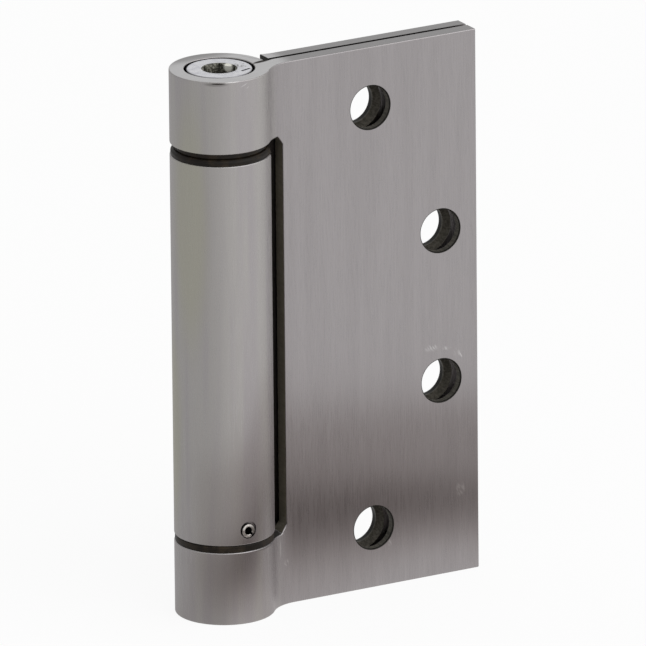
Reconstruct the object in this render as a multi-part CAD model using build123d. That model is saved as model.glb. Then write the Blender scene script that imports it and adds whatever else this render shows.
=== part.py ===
from build123d import *
import os
from math import atan2, cos, degrees, radians, sin, sqrt, tan

# A self-closing full-mortise hinge, folded shut.
# Millimetres. The pin axis is Z, and z = 0 is the foot of the bottom knuckle.
# The closed leaves reach out along +X, and the leaf with the end knuckles is on the -Y side.

# Overall sizes of the hinge
hinge_height = 114.3
leaf_width = 57.15
leaf_thickness = 3.0
leaf_gap = 0.9
edge_break = 0.2

# Rolled knuckles
knuckle_outer_radius = 10.15
end_knuckle_height = 15.25
swage_radius = 8.0
seam_drop = 1.2
seam_gap = 0.25

# Notches beside the barrel sections
barrel_notch_clearance = 2.25
end_notch_clearance = 1.25
notch_chamfer_x = 1.4
notch_chamfer_z = 1.8

# Screw holes, countersunk on the inner faces
screw_hole_radius = 4.5
screw_hole_land = 1.7
countersink_angle = 82.0
end_screw_from_end = 12.7
end_screw_from_edge = 24.5
middle_screw_spacing = 31.75
middle_screw_from_edge = 8.5
barrel_leaf_hole_shift = 1.0

# Clearances between pieces
running_clearance = 0.05
press_clearance = 0.02
axial_play = 0.08

# Bushes between the knuckles
bush_wall = 0.85
upper_flange_inset = 0.95
upper_flange_thickness = 1.1
upper_sleeve_length = 4.6
barrel_flange_inset = 0.15
barrel_flange_thickness = 1.3
barrel_flange_chamfer = 0.45
barrel_sleeve_length = 7.0
lower_flange_inset = 0.15
lower_flange_thickness = 1.4
lower_sleeve_length = 9.0

# Tension adjuster
adjuster_length = 31.0
adjuster_gap = 0.5
adjuster_recess = 0.1
adjuster_rim_chamfer = 0.3
socket_flats = 6.35
socket_depth = 5.4
socket_mouth_chamfer = 0.45
drill_point_angle = 118.0
slit_length = 2.4
slit_width = 0.5
slit_depth = 1.6
slit_from_rim = 1.25
slit_angle = -42.0
slit_turn = 17.0

# Tension pin, the holes that take it, and its window in the top knuckle
tension_pin_radius = 1.5
tension_pin_recess = 0.25
tension_hole_count = 6
tension_hole_depth = 3.0
tension_hole_drop = 2.4
window_play = 0.1
window_stop_angle = 115.0
window_travel = 60.0

# Closing spring
wire_side = 2.4
coil_bore_clearance = 1.35
coil_pitch = 3.5
coil_chords = 12
leg_bend_radius = 2.0
leg_length = 4.0
leg_clearance = 0.1
spring_end_gap = 0.3

# Spring anchor, its roll pin and the bottom cap
anchor_body_length = 12.0
roll_pin_radius = 1.5
roll_pin_bore_radius = 0.8
roll_pin_slot = 0.5
roll_pin_turn = 135.0
roll_pin_web = 1.2
roll_pin_height = 2.8
roll_pin_recess = 0.1
roll_pin_lead_in = 0.3
cap_thickness = 5.0
cap_chamfer = 0.5
trunnion_end_gap = 0.3

# Places that follow from the sizes above
leaf_face = leaf_gap / 2 + leaf_thickness
bore_radius = knuckle_outer_radius - leaf_thickness
top_knuckle_base = hinge_height - end_knuckle_height
barrel_base = end_knuckle_height + lower_flange_thickness + axial_play
barrel_flange_top = top_knuckle_base - upper_flange_thickness - axial_play
barrel_top = barrel_flange_top - barrel_flange_thickness
barrel_notch_x = knuckle_outer_radius + barrel_notch_clearance
end_notch_x = knuckle_outer_radius + end_notch_clearance
strip_shoulder_x = barrel_notch_x - notch_chamfer_x
sleeve_outer_radius = bore_radius - press_clearance
sleeve_inner_radius = sleeve_outer_radius - bush_wall
shank_radius = sleeve_inner_radius - running_clearance
adjuster_radius = bore_radius - adjuster_gap
adjuster_top = hinge_height - adjuster_recess
adjuster_foot = adjuster_top - adjuster_length
adjuster_shoulder = top_knuckle_base + upper_sleeve_length + axial_play
socket_floor = adjuster_top - socket_depth
tension_pin_z = socket_floor - tension_hole_drop
anchor_top = barrel_base + anchor_body_length
roll_pin_z = barrel_base + roll_pin_height
roll_pin_outer_end = knuckle_outer_radius - roll_pin_recess
roll_pin_inner_end = roll_pin_web - sleeve_outer_radius
coil_radius = bore_radius - coil_bore_clearance - wire_side / 2
coil_foot = anchor_top + spring_end_gap + leg_bend_radius
coil_head = adjuster_foot - spring_end_gap - leg_bend_radius
coil_count = int((coil_head - coil_foot) / coil_pitch)


def upright(radius, foot, head):
    """A round bar on the pin axis between two heights."""
    return Pos(0, 0, foot) * Cylinder(
        radius, head - foot, align=(Align.CENTER, Align.CENTER, Align.MIN)
    )


def radial_rod(radius, near, far, angle, z):
    """A round bar that points away from the pin axis, between two distances from it."""
    outward = Vector(cos(radians(angle)), sin(radians(angle)))
    return Plane(outward * near + Vector(0, 0, z), z_dir=outward) * Cylinder(
        radius, far - near, align=(Align.CENTER, Align.CENTER, Align.MIN)
    )


def angle_of(point):
    return degrees(atan2(point.Y, point.X))


def seam_point(radius, offset):
    """Where a line along the seam, set off from it, meets a circle about the pin axis."""
    start = Vector(sqrt(bore_radius**2 - seam_drop**2), -seam_drop)
    along = (Vector(strip_shoulder_x, -leaf_gap / 2) - start).normalized()
    base = start + Vector(-along.Y, along.X) * offset
    middle = base.dot(along)
    return base + along * (sqrt(middle**2 + radius**2 - base.dot(base)) - middle)


def knuckle_section():
    """The rolled sheet seen from above: the strip, its swaged bend, and the curl to the seam."""
    bend_y = leaf_face + swage_radius
    bend_x = sqrt((knuckle_outer_radius + swage_radius) ** 2 - bend_y**2)
    bend_angle = degrees(atan2(-bend_y, bend_x))
    strip_end = bend_x + leaf_thickness
    curl_end = seam_point(knuckle_outer_radius, seam_gap)
    bore_end = seam_point(bore_radius, seam_gap)
    bore_start = seam_point(bore_radius, 0)
    curl_turn = angle_of(curl_end) - bend_angle - 360
    bore_turn = angle_of(bore_start) - angle_of(bore_end) + 360
    with BuildSketch() as section:
        with BuildLine():
            Line((strip_end, -leaf_face), (bend_x, -leaf_face))
            CenterArc((bend_x, -bend_y), swage_radius, 90, 90 + bend_angle)
            CenterArc((0, 0), knuckle_outer_radius, bend_angle, curl_turn)
            Line(curl_end, bore_end)
            CenterArc((0, 0), bore_radius, angle_of(bore_end), bore_turn)
            Line(bore_start, (strip_shoulder_x, -leaf_gap / 2))
            Line((strip_shoulder_x, -leaf_gap / 2), (strip_end, -leaf_gap / 2))
            Line((strip_end, -leaf_gap / 2), (strip_end, -leaf_face))
        make_face()
    return section.sketch


def knuckle(foot, head):
    """One rolled section between two heights, with its outer rims lightly broken."""
    roll = extrude(knuckle_section(), head - foot)
    strip_rims = roll.edges().filter_by(Axis.X).sort_by(Axis.Y)[:2]
    round_rims = [
        edge
        for edge in roll.edges().filter_by(GeomType.CIRCLE)
        if abs(edge.radius - bore_radius) > edge_break
    ]
    return Pos(0, 0, foot) * chamfer(strip_rims + round_rims, edge_break)


def plate(outline):
    """The flat leaf on the -Y side, cut to an outline of (x, z) points."""
    face = Plane.XZ.offset(leaf_gap / 2) * make_face(Polyline(*outline, close=True))
    sheet = extrude(face, leaf_thickness)
    outer_rim = [
        edge
        for edge in sheet.faces().sort_by(Axis.Y)[0].edges()
        if edge.center().X > strip_shoulder_x + leaf_thickness
    ]
    return chamfer(outer_rim, edge_break)


def screw_places(shift):
    """(x, z) of the screw holes: two near the ends, and two at the middle by the free edge."""
    end_x = leaf_width - end_screw_from_edge - shift
    middle_x = leaf_width - middle_screw_from_edge - shift
    middle_z = hinge_height / 2
    return [
        (end_x, end_screw_from_end),
        (end_x, hinge_height - end_screw_from_end),
        (middle_x, middle_z - middle_screw_spacing / 2),
        (middle_x, middle_z + middle_screw_spacing / 2),
    ]


def screw_holes(shift):
    """Cutters for the -Y leaf: round holes with their inner mouths sunk for flat heads."""
    sink_depth = leaf_thickness - screw_hole_land
    mouth_radius = screw_hole_radius + sink_depth * tan(radians(countersink_angle / 2))
    sink_y = -leaf_gap / 2 - sink_depth / 2
    cutters = []
    for x, z in screw_places(shift):
        cutters.append(
            Plane((x, -leaf_face, z), z_dir=(0, 1, 0))
            * Cylinder(screw_hole_radius, 3 * leaf_thickness)
        )
        cutters.append(
            Plane((x, sink_y, z), z_dir=(0, 1, 0))
            * Cone(screw_hole_radius, mouth_radius, sink_depth)
        )
    return cutters


def tension_window():
    """Cutters for the slot in the top knuckle's hidden side, where the tension pin travels."""
    half_height = tension_pin_radius + window_play
    inside = bore_radius - leaf_thickness / 2
    outside = knuckle_outer_radius + leaf_thickness / 2
    start = window_stop_angle - window_travel
    band = Plane.XZ * Pos((inside + outside) / 2, tension_pin_z) * Rectangle(
        outside - inside, 2 * half_height
    )
    cutters = [Rot(0, 0, start) * revolve(band, Axis.Z, window_travel)]
    for angle in (start, window_stop_angle):
        cutters.append(radial_rod(half_height, inside, outside, angle, tension_pin_z))
    return cutters


def end_knuckle_leaf():
    """Front leaf: one sheet, rolled into a knuckle at each end and notched for the barrel."""
    low = end_knuckle_height
    high = top_knuckle_base
    outline = [
        (leaf_width, 0),
        (leaf_width, hinge_height),
        (strip_shoulder_x, hinge_height),
        (strip_shoulder_x, high),
        (barrel_notch_x, high - notch_chamfer_z),
        (barrel_notch_x, low + notch_chamfer_z),
        (strip_shoulder_x, low),
        (strip_shoulder_x, 0),
    ]
    leaf = plate(outline) + knuckle(0, low) + knuckle(high, hinge_height)
    return leaf - screw_holes(0) - tension_window()


def barrel_leaf():
    """Rear leaf: the mirror sheet, rolled into the middle barrel and notched at both ends."""
    outline = [
        (leaf_width, 0),
        (leaf_width, hinge_height),
        (end_notch_x, hinge_height),
        (end_notch_x, 0),
    ]
    sheet = plate(outline) + knuckle(barrel_base, barrel_top)
    sheet = mirror(sheet - screw_holes(barrel_leaf_hole_shift), about=Plane.XZ)
    hole_radius = roll_pin_radius + press_clearance
    hole = radial_rod(hole_radius, 0, 2 * knuckle_outer_radius, -90, roll_pin_z)
    lead_in = Plane((0, -knuckle_outer_radius, roll_pin_z), z_dir=(0, 1, 0)) * Cone(
        hole_radius + roll_pin_lead_in, hole_radius, 2 * roll_pin_lead_in
    )
    return sheet - hole - lead_in


def flanged_bush(flange_inset, flange_thickness, sleeve_length):
    """A bush whose flange stands on z = 0 and whose sleeve hangs below it."""
    flange = upright(knuckle_outer_radius - flange_inset, 0, flange_thickness)
    sleeve = upright(sleeve_outer_radius, -sleeve_length, 0)
    return flange + sleeve - upright(sleeve_inner_radius, -sleeve_length, flange_thickness)


def upper_knuckle_bush():
    """Bush in the top knuckle. Its sleeve carries the shoulder of the adjuster's head."""
    bush = flanged_bush(upper_flange_inset, upper_flange_thickness, upper_sleeve_length)
    return Pos(0, 0, top_knuckle_base) * mirror(bush, about=Plane.XY)


def barrel_bush():
    """Bush that caps the middle barrel, with a sloping shoulder round its flange."""
    bush = flanged_bush(barrel_flange_inset, barrel_flange_thickness, barrel_sleeve_length)
    rim = bush.edges().filter_by(GeomType.CIRCLE).group_by(Axis.Z)[-1].sort_by(SortBy.RADIUS)[-1]
    return Pos(0, 0, barrel_top) * chamfer(rim, barrel_flange_chamfer)


def lower_bush():
    """Bush in the bottom knuckle. The middle barrel stands on its flange."""
    bush = flanged_bush(lower_flange_inset, lower_flange_thickness, lower_sleeve_length)
    return Pos(0, 0, end_knuckle_height) * bush


def hexagon_socket():
    """Cutters for the hexagon hole, the drill point below it and its round lead-in."""
    half_flats = socket_flats / 2
    hexagon = Pos(0, 0, socket_floor) * RegularPolygon(half_flats, 6, major_radius=False)
    point_depth = half_flats / tan(radians(drill_point_angle / 2))
    point = Cone(0, half_flats, point_depth)
    mouth = Cone(half_flats, half_flats + socket_mouth_chamfer, socket_mouth_chamfer)
    return [
        extrude(hexagon, 2 * socket_depth),
        Pos(0, 0, socket_floor - point_depth / 2) * point,
        Pos(0, 0, adjuster_top - socket_mouth_chamfer / 2) * mouth,
    ]


def coil():
    """The line of the spring's coils: a left-handed helix, drawn with chords to keep it light."""
    height = coil_head - coil_foot
    helix = Helix(height / coil_count, height, coil_radius, lefthand=True)
    chords = coil_count * coil_chords
    return Pos(0, 0, coil_foot) * Polyline(*[helix @ (k / chords) for k in range(chords + 1)])


def across(at, way):
    """The level direction square to the wire at a point of the coil, away from the pin axis."""
    level = Vector(way.Y, -way.X).normalized()
    return level if level.dot(at) > 0 else level * -1


def wire_face(at, way):
    """The square wire's end face at a point of the coil."""
    return Plane(at, x_dir=across(at, way), z_dir=way) * Rectangle(wire_side, wire_side)


def spring_leg(at, way, axial):
    """The bend from the end of the coil into the axial direction, and the straight leg."""
    side = way.cross(across(at, way))
    side = side if side.dot(axial) > 0 else side * -1
    turn = way.get_angle(axial)
    bend = revolve(wire_face(at, way), Axis(at + side * leg_bend_radius, way.cross(side)), turn)
    tip = bend.faces().sort_by(Axis(at, axial))[-1]
    return bend + extrude(tip, leg_length, dir=axial)


def closing_spring():
    """Torsion spring of square wire: left-handed coils with an axial leg at each end."""
    path = coil()
    body = sweep(wire_face(path @ 0, path % 0), path=path, transition=Transition.RIGHT)
    foot_leg = spring_leg(path @ 0, path % 0 * -1, Vector(0, 0, -1))
    head_leg = spring_leg(path @ 1, path % 1, Vector(0, 0, 1))
    return body + foot_leg + head_leg


def leg_notch(at, way, z):
    """Cutter for the notch in a plug's rim that takes one leg of the spring."""
    rise = abs(way.Z)
    flat = Vector(way.X, way.Y).normalized()
    leg_at = Vector(at.X, at.Y) + flat * leg_bend_radius * (1 - rise)
    width = wire_side + 2 * leg_clearance
    outward = across(at, way)
    floor = leg_at - outward * (width / 2) + Vector(0, 0, z)
    return Plane(floor, x_dir=outward, z_dir=(0, 0, 1)) * Box(
        2 * bore_radius,
        width,
        2 * (leg_length + leg_clearance),
        align=(Align.MIN, Align.CENTER, Align.CENTER),
    )


def tension_adjuster():
    """Turned plug: a head with the hexagon socket, and a shank that runs in both bushes."""
    head = upright(adjuster_radius, adjuster_shoulder, adjuster_top)
    head = chamfer(head.edges().group_by(Axis.Z)[-1], adjuster_rim_chamfer)
    shank = upright(shank_radius, adjuster_foot, adjuster_shoulder)
    slit_reach = adjuster_radius - slit_from_rim
    slit_at = Pos(0, 0, adjuster_top) * Rot(0, 0, slit_angle) * Pos(slit_reach, 0, 0)
    slit = slit_at * Rot(0, 0, slit_turn - slit_angle) * Box(slit_length, slit_width, 2 * slit_depth)
    pin_holes = [
        radial_rod(
            tension_pin_radius + press_clearance,
            adjuster_radius - tension_hole_depth,
            bore_radius,
            window_stop_angle + 360 * k / tension_hole_count,
            tension_pin_z,
        )
        for k in range(tension_hole_count)
    ]
    path = coil()
    notch = leg_notch(path @ 1, path % 1, adjuster_foot)
    return head + shank - hexagon_socket() - slit - pin_holes - notch


def tension_pin():
    """Pin in one of the adjuster's holes, which bears on the end of the knuckle's window."""
    return radial_rod(
        tension_pin_radius,
        adjuster_radius - tension_hole_depth,
        knuckle_outer_radius - tension_pin_recess,
        window_stop_angle,
        tension_pin_z,
    )


def spring_anchor():
    """Stepped plug: its body is pinned in the barrel, and its trunnion turns in the lower bush."""
    body = upright(sleeve_outer_radius, barrel_base, anchor_top)
    trunnion = upright(shank_radius, cap_thickness + trunnion_end_gap, barrel_base)
    hole = radial_rod(
        roll_pin_radius + press_clearance,
        roll_pin_inner_end,
        knuckle_outer_radius,
        -90,
        roll_pin_z,
    )
    path = coil()
    return body + trunnion - hole - leg_notch(path @ 0, path % 0 * -1, anchor_top)


def anchor_roll_pin():
    """Slotted tube of spring steel that fixes the anchor in the barrel."""
    tube = radial_rod(roll_pin_radius, roll_pin_inner_end, roll_pin_outer_end, -90, roll_pin_z)
    tube = chamfer(tube.edges().filter_by(GeomType.CIRCLE).sort_by(Axis.Y)[0], edge_break)
    bore = radial_rod(
        roll_pin_bore_radius, roll_pin_inner_end, roll_pin_outer_end, -90, roll_pin_z
    )
    slot = Pos(0, 0, roll_pin_z) * Rot(0, roll_pin_turn, 0) * Box(
        roll_pin_slot,
        4 * knuckle_outer_radius,
        2 * roll_pin_radius,
        align=(Align.CENTER, Align.CENTER, Align.MIN),
    )
    return tube - bore - slot


def bottom_cap():
    """Disc pressed flush into the open end of the bottom knuckle."""
    cap = upright(sleeve_outer_radius, 0, cap_thickness)
    return chamfer(cap.edges().group_by(Axis.Z)[0], cap_chamfer)


def main():
    pieces = [
        end_knuckle_leaf,
        barrel_leaf,
        upper_knuckle_bush,
        barrel_bush,
        lower_bush,
        tension_adjuster,
        tension_pin,
        closing_spring,
        spring_anchor,
        anchor_roll_pin,
        bottom_cap,
    ]
    os.makedirs("parts", exist_ok=True)
    for piece in pieces:
        export_step(piece(), f"parts/{piece.__name__}.step")


main()
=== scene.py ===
import math

import bmesh
import bpy
from mathutils import Matrix, Vector


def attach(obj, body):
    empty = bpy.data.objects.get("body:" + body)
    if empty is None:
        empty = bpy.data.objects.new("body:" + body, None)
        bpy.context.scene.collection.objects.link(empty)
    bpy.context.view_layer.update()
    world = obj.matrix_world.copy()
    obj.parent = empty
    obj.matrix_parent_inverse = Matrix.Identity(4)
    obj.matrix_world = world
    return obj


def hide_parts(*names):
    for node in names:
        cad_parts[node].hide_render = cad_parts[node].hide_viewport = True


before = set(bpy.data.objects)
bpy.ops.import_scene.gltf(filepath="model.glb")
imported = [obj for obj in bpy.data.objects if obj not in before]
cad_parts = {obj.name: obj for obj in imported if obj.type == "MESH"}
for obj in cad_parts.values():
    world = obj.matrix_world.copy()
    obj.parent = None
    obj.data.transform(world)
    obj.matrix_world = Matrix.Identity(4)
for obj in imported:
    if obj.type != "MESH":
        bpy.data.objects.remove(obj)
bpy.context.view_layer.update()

# A self-closing door hinge in brushed stainless steel, folded shut and standing on its end.
# Sizes are in metres, in the frame of its construction: the pin axis is Z, and the closed
# leaves reach out along +X, the one with the end knuckles on the -Y side.
MM = 0.001
HAIR = 0.01 * MM  # the margin that two places are compared with
SHARP = math.radians(38)  # an edge is sharp where its faces turn by more
END_TILT = 0.75  # a face is an end of the sheet where its normal points up or down by more

# The rolled sheets
HINGE_HEIGHT = 114.3 * MM
LEAF_WIDTH = 57.15 * MM
LEAF_THICKNESS = 3.0 * MM
HALF_GAP = 0.45 * MM
LEAF_FACE = HALF_GAP + LEAF_THICKNESS
KNUCKLE_RADIUS = 10.15 * MM
BORE_RADIUS = KNUCKLE_RADIUS - LEAF_THICKNESS
SWAGE_RADIUS = 8.0 * MM
SHOULDER_X = 11.0 * MM
SEAM_DROP = 1.2 * MM
SEAM_GAP = 0.25 * MM
ROLL_STEPS = 108
SWAGE_STEPS = 10
SHEET_EDGE_ROUND = 0.22 * MM

# The notches between the knuckles
END_KNUCKLE_HEIGHT = 15.25 * MM
TOP_KNUCKLE_BASE = HINGE_HEIGHT - END_KNUCKLE_HEIGHT
BARREL_NOTCH_X = 12.4 * MM
END_NOTCH_X = 11.4 * MM
BARREL_BASE = 16.73 * MM
BARREL_TOP = 96.57 * MM
NOTCH_CORNER_X = BARREL_NOTCH_X - SHOULDER_X
NOTCH_CORNER_Z = 1.8 * MM

# The screw holes: their places in mm from the pin axis and the foot, how far those of the rear
# leaf are off, and how they are sunk for flat heads
SCREW_HOLES = [(32.65, 12.7), (32.65, 101.6), (48.65, 41.275), (48.65, 73.025)]
BARREL_LEAF_HOLE_SHIFT = -1.0
SCREW_HOLE_RADIUS = 4.5 * MM
SCREW_HOLE_LAND = 1.7 * MM
SINK_SLOPE = math.tan(math.radians(41))

# The adjuster, its pin and the window in the knuckle behind it
ADJUSTER_TOP = 114.2 * MM
ADJUSTER_FOOT = 83.2 * MM
ADJUSTER_SHOULDER = 103.73 * MM
ADJUSTER_RADIUS = 6.65 * MM
SHANK_RADIUS = 6.23 * MM
SOCKET_FLAT = 3.175 * MM
SOCKET_MOUTH = 0.5 * MM
SOCKET_FLOOR = 108.8 * MM
SLIT_REACH = 5.4 * MM
SLIT_ANGLE = math.radians(-42)
SLIT_TURN = math.radians(17)
SLIT_SIZE = (2.4 * MM, 0.5 * MM, 3.2 * MM)
SPRING_NOTCH_REACH = 8 * MM
SPRING_NOTCH_ANGLE = math.radians(-11.3)
SPRING_NOTCH_TURN = math.radians(15)
SPRING_NOTCH_SIZE = (8 * MM, 2.6 * MM, 8.2 * MM)
PIN_Z = 106.4 * MM
PIN_RADIUS = 1.5 * MM
PIN_FIT = 0.02 * MM
PIN_SEAT = ADJUSTER_RADIUS - 3.0 * MM
WINDOW_ANGLES = (55, 115)  # degrees

# The bushes: their sleeves, and for each one the radius of its flange, the foot and top of the
# flange, where its sleeve ends, and the size of its shoulder
SLEEVE_OUTSIDE = 7.13 * MM
SLEEVE_INSIDE = 6.28 * MM
UPPER_RING = (9.2 * MM, (97.95 * MM, 99.05 * MM), 103.65 * MM, 0.15 * MM)
BARREL_RING = (10.0 * MM, (96.57 * MM, 97.87 * MM), 89.57 * MM, 0.45 * MM)
LOWER_RING = (10.0 * MM, (15.25 * MM, 16.65 * MM), 6.25 * MM, 0.15 * MM)

# The roll pin in the foot of the barrel, and the cap in the bottom knuckle
ROLL_PIN_Z = 19.53 * MM
ROLL_PIN_TURN = math.radians(135)
CAP_THICKNESS = 5.0 * MM

# Oil in the seam of the top knuckle: its centre and half sizes in mm, and its turn
SEAM_OIL = ((9.3, -0.7, 114.2), (2.9, 0.8, 0.8), (0, 0, 0.187))

# The photograph's frame and where its camera stood
PHOTO_PIXELS = 646
SENSOR_WIDTH = 36.0
FOCAL_PIXELS = 17871
CAMERA_DISTANCE = 3596.5 * MM
CAMERA_AZIMUTH = math.radians(29.449)
CAMERA_ELEVATION = math.radians(17.922)
CAMERA_ROLL = math.radians(-0.538)
AIM_POINT = Vector((20, 0, 57)) * MM
AIM_RIGHT = 2.821 * MM
AIM_UP = 0.283 * MM

# The way to the brighter side of the room
BRIGHT_SIDE = (0.87, -0.49, 0)


def take(piece):
    """Makes one piece the only selected and active object, with no edit mode left open."""
    if bpy.context.object and bpy.context.object.mode != "OBJECT":
        bpy.ops.object.mode_set(mode="OBJECT")
    bpy.ops.object.select_all(action="DESELECT")
    piece.select_set(True)
    bpy.context.view_layer.objects.active = piece


def edit(piece, kind="VERT"):
    """Opens a piece for editing, with all of it selected."""
    take(piece)
    bpy.ops.object.mode_set(mode="EDIT")
    bpy.ops.mesh.select_mode(type=kind)
    bpy.ops.mesh.select_all(action="SELECT")


def pick(kind, wanted):
    """In edit mode, selects the vertices, edges or faces that are wanted, and no others."""
    bpy.ops.mesh.select_mode(type=kind)
    bpy.ops.mesh.select_all(action="DESELECT")
    mesh = bpy.context.object.data
    shape = bmesh.from_edit_mesh(mesh)
    for part in {"VERT": shape.verts, "EDGE": shape.edges, "FACE": shape.faces}[kind]:
        part.select_set(wanted(part))
    bmesh.update_edit_mesh(mesh)


def settle(piece):
    """Closes the seams of a spun piece and turns its faces outwards."""
    edit(piece)
    bpy.ops.mesh.remove_doubles(threshold=0.001 * MM)
    bpy.ops.mesh.normals_make_consistent(inside=False)
    take(piece)
    bpy.ops.object.transform_apply(location=True, rotation=True, scale=True)
    return piece


def modify(piece, kind, **settings):
    """Adds a modifier and applies it at once."""
    take(piece)
    made = piece.modifiers.new(kind.lower(), kind)
    for key, value in settings.items():
        setattr(made, key, value)
    bpy.ops.object.modifier_apply(modifier=made.name)


def cut(piece, *cutters):
    """Takes the cutters' shapes out of a piece."""
    for cutter in cutters:
        modify(piece, "BOOLEAN", object=cutter, operation="DIFFERENCE", solver="EXACT")
        bpy.data.objects.remove(cutter)


def round_edges(piece, width, segments=3, left_sharp=lambda edge: False):
    """Breaks the sharp edges with a small round, as tumbling or a file does."""
    edit(piece, "EDGE")
    pick("EDGE", lambda e: e.calc_face_angle() > SHARP and not left_sharp(e))
    bpy.ops.mesh.bevel(offset=width, segments=segments, affect="EDGES", clamp_overlap=False)
    take(piece)


def beside_gap(edge):
    """An edge that faces the other leaf. It stays as the shear left it."""
    return all(abs(v.co.y) < HALF_GAP + HAIR and v.co.x > BORE_RADIUS for v in edge.verts)


def smooth(piece):
    """Shades the curved faces smooth, and keeps the flat ones flat up to their rounds."""
    take(piece)
    bpy.ops.object.shade_smooth_by_angle(angle=SHARP)
    modify(piece, "WEIGHTED_NORMAL", keep_sharp=True, weight=80)


def first_point(name, place):
    """A mesh of a single vertex, from which an outline is drawn."""
    bpy.ops.mesh.primitive_plane_add(size=MM, location=place)
    piece = bpy.context.object
    piece.name = name
    bpy.ops.object.transform_apply()
    edit(piece)
    bpy.ops.mesh.merge(type="CENTER")
    return piece


def draw_to(x, y, z=0.0):
    """Extrudes the outline's last vertex to a place."""
    shape = bmesh.from_edit_mesh(bpy.context.object.data)
    here = next(v.co for v in shape.verts if v.select)
    bpy.ops.mesh.extrude_region_move(
        TRANSFORM_OT_translate={"value": (x - here.x, y - here.y, z - here.z)}
    )


def draw_arc(centre, turn, steps):
    """Spins the outline's last vertex about an upright axis, anticlockwise seen from above."""
    bpy.ops.mesh.spin(steps=steps, angle=-turn, center=(*centre, 0), axis=(0, 0, 1))


def turned(name, profile, steps=96):
    """A piece turned on the pin axis. Its half section is drawn in (radius, z) and spun round."""
    (radius, z), *rest = profile
    piece = first_point(name, (radius, 0, z))
    for radius, z in rest:
        draw_to(radius, 0, z)
    bpy.ops.mesh.select_all(action="SELECT")
    bpy.ops.mesh.spin(steps=steps, angle=math.tau, center=(0, 0, 0), axis=(0, 0, 1))
    return settle(piece)


def lay(piece, place, turn):
    """Lays a piece that was made upright on its side, so that its top points outwards at an angle
    about the pin axis."""
    take(piece)
    lie = Matrix.Rotation(turn, 4, "Z") @ Matrix.Rotation(math.pi / 2, 4, "Y")
    piece.matrix_world = Matrix.Translation(place) @ lie
    bpy.ops.object.transform_apply()
    return piece


def block(place, size, turn=(0, 0, 0)):
    """A box to cut with."""
    bpy.ops.mesh.primitive_cube_add(size=1, location=place, rotation=turn, scale=size)
    return bpy.context.object


def polar(radius, angle, z):
    """A place given by its distance from the pin axis, its angle and its height."""
    return Vector((radius * math.cos(angle), radius * math.sin(angle), z))


def seam_point(radius, offset):
    """Where a line along the knuckle's seam, set off from it, meets a circle about the pin."""
    start = Vector((math.sqrt(BORE_RADIUS**2 - SEAM_DROP**2), -SEAM_DROP))
    along = (Vector((SHOULDER_X, -HALF_GAP)) - start).normalized()
    base = start + Vector((-along.y, along.x)) * offset
    middle = base.dot(along)
    return base + along * (math.sqrt(middle**2 + radius**2 - base.dot(base)) - middle)


def rolled_sheet(name):
    """A strip of sheet as high as the hinge, with its long edge swaged and rolled round the pin."""
    bend_y = LEAF_FACE + SWAGE_RADIUS
    bend_x = math.sqrt((KNUCKLE_RADIUS + SWAGE_RADIUS) ** 2 - bend_y**2)
    bend_angle = math.atan2(-bend_y, bend_x)
    curl_end = seam_point(KNUCKLE_RADIUS, SEAM_GAP)
    bore_end = seam_point(BORE_RADIUS, SEAM_GAP)
    bore_start = seam_point(BORE_RADIUS, 0)
    curl_turn = math.atan2(curl_end.y, curl_end.x) - bend_angle - math.tau
    bore_turn = (
        math.atan2(bore_start.y, bore_start.x) - math.atan2(bore_end.y, bore_end.x) + math.tau
    )
    sheet = first_point(name, (LEAF_WIDTH, -LEAF_FACE, 0))
    draw_to(bend_x, -LEAF_FACE)
    draw_arc((bend_x, -bend_y), math.pi / 2 + bend_angle, SWAGE_STEPS)
    draw_arc((0, 0), curl_turn, ROLL_STEPS)
    draw_to(*bore_end)
    draw_arc((0, 0), bore_turn, ROLL_STEPS)
    draw_to(SHOULDER_X, -HALF_GAP)
    draw_to(LEAF_WIDTH, -HALF_GAP)
    bpy.ops.mesh.select_all(action="SELECT")
    bpy.ops.mesh.edge_face_add()
    bpy.ops.mesh.extrude_region_move(TRANSFORM_OT_translate={"value": (0, 0, HINGE_HEIGHT)})
    return settle(sheet)


def notch_cutter(low, high, reach, corner_x=0.0, corner_z=0.0):
    """A block that cuts the roll away between two heights, up to a line beside it."""
    back, depth = -14 * MM, 30 * MM
    cutter = block(((reach + back) / 2, 0, (low + high) / 2), (reach - back, depth, high - low))
    bpy.ops.object.transform_apply()
    if corner_x:
        edit(cutter)
        for z in (low + corner_z, high - corner_z):
            bpy.ops.mesh.select_all(action="SELECT")
            bpy.ops.mesh.bisect(plane_co=(0, 0, z), plane_no=(0, 0, 1))
        ends = low + corner_z / 2, high - corner_z / 2
        pick("VERT", lambda v: v.co.x > 0 and not ends[0] < v.co.z < ends[1])
        bpy.ops.transform.translate(value=(-corner_x, 0, 0))
        take(cutter)
    return cutter


def screw_cutter(x, z):
    """The shape of a countersunk hole through the -Y leaf: a drilled wall that is a little
    rolled over where the punch came out, and a cone at the inner face."""
    drill = SCREW_HOLE_RADIUS
    sink = LEAF_THICKNESS - SCREW_HOLE_LAND
    over = 0.4 * MM
    tool = turned(
        "screw_cutter",
        [
            (0, -over),
            (drill + 0.30 * MM, -over),
            (drill + 0.22 * MM, 0),
            (drill + 0.08 * MM, 0.05 * MM),
            (drill + 0.02 * MM, 0.14 * MM),
            (drill, 0.28 * MM),
            (drill, SCREW_HOLE_LAND),
            (drill + sink * SINK_SLOPE, LEAF_THICKNESS),
            (drill + (sink + over) * SINK_SLOPE, LEAF_THICKNESS + over),
            (0, LEAF_THICKNESS + over),
        ],
        steps=64,
    )
    return lay(tool, (x, -LEAF_FACE, z), math.pi / 2)


def cut_screw_holes(sheet, shift=0.0):
    """Cuts a leaf's four screw holes, all shifted by so many mm away from the pin."""
    for x, z in SCREW_HOLES:
        cut(sheet, screw_cutter((x + shift) * MM, z * MM))


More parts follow.
